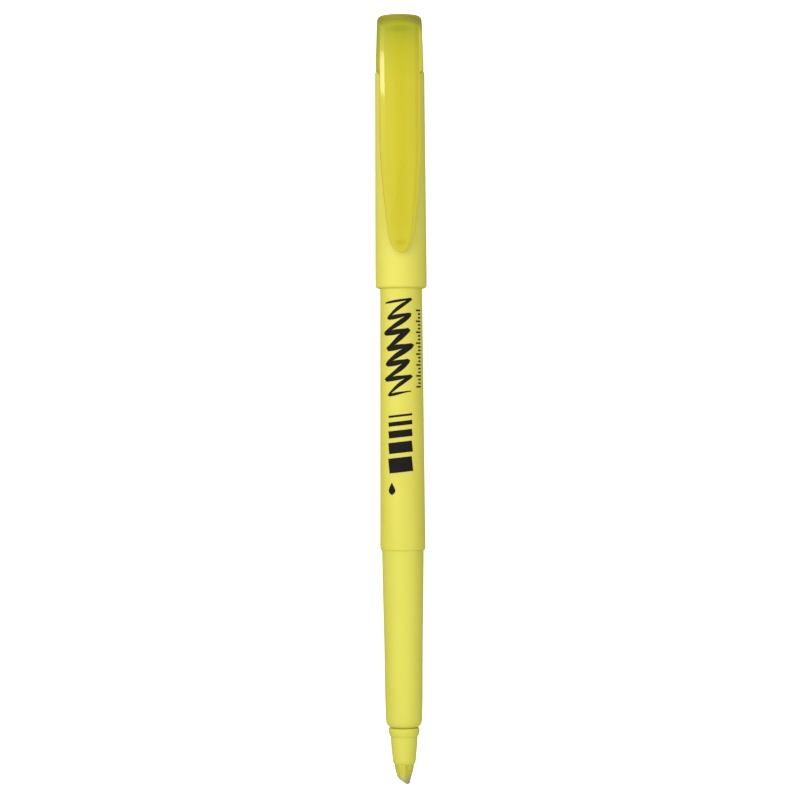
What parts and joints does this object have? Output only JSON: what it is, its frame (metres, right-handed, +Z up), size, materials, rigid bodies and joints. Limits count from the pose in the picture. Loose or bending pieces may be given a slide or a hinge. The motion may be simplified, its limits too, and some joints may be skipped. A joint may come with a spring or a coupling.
{
  "type": "highlighter",
  "caption": "Slim chisel-tip highlighter pen with its clip cap pushed onto the tail. The cap slides off and the clip springs open.",
  "frame": {"origin": "below the middle of the pen's length, level with the lowest point of its cap's lip, which touches a table that the pen is laid on", "axes": "+Y along the pen from the nib to the cap's crown, +Z up, with the clip on top, +X to the right when the clip faces the viewer and the nib points down"},
  "size_m": [0.0108, 0.1612, 0.0129],
  "materials": {
    "barrel_plastic": "satin moulded polypropylene, fluorescent yellow",
    "cap_body_plastic": "satin moulded polypropylene, fluorescent yellow, opaque",
    "crown_plastic": "glossy translucent polypropylene, olive yellow",
    "liner_plastic": "natural polyethylene",
    "nib_fibre": "pressed polyester fibre, wet with yellow ink",
    "ink_fibre": "bonded polyester fibre, soaked with yellow ink",
    "clear_film": "thin polypropylene film"
  },
  "bodies": {
    "pen": {"barrel": "barrel_plastic", "nib_holder": "barrel_plastic", "nib": "nib_fibre", "ink_reservoir": "ink_fibre", "reservoir_wrap": "clear_film", "breather_tube": "clear_film", "tail_plug": "barrel_plastic"},
    "cap": {"cap_body": "cap_body_plastic", "cap_crown": "crown_plastic", "cap_liner": "liner_plastic"},
    "clip": {"clip": "crown_plastic"}
  },
  "joints": [
    {"name": "cap_slide", "type": "slide", "parent": "pen", "child": "cap", "axis": [0, 1, 0], "range_m": [0, 0.045]},
    {"name": "clip_flex", "type": "hinge", "parent": "cap", "child": "clip", "pos_m": [0, 0.07285, 0.01218], "axis": [-1, 0, 0], "range_deg": [0, 4], "stiffness_Nm_per_rad": 1.5}
  ]
}
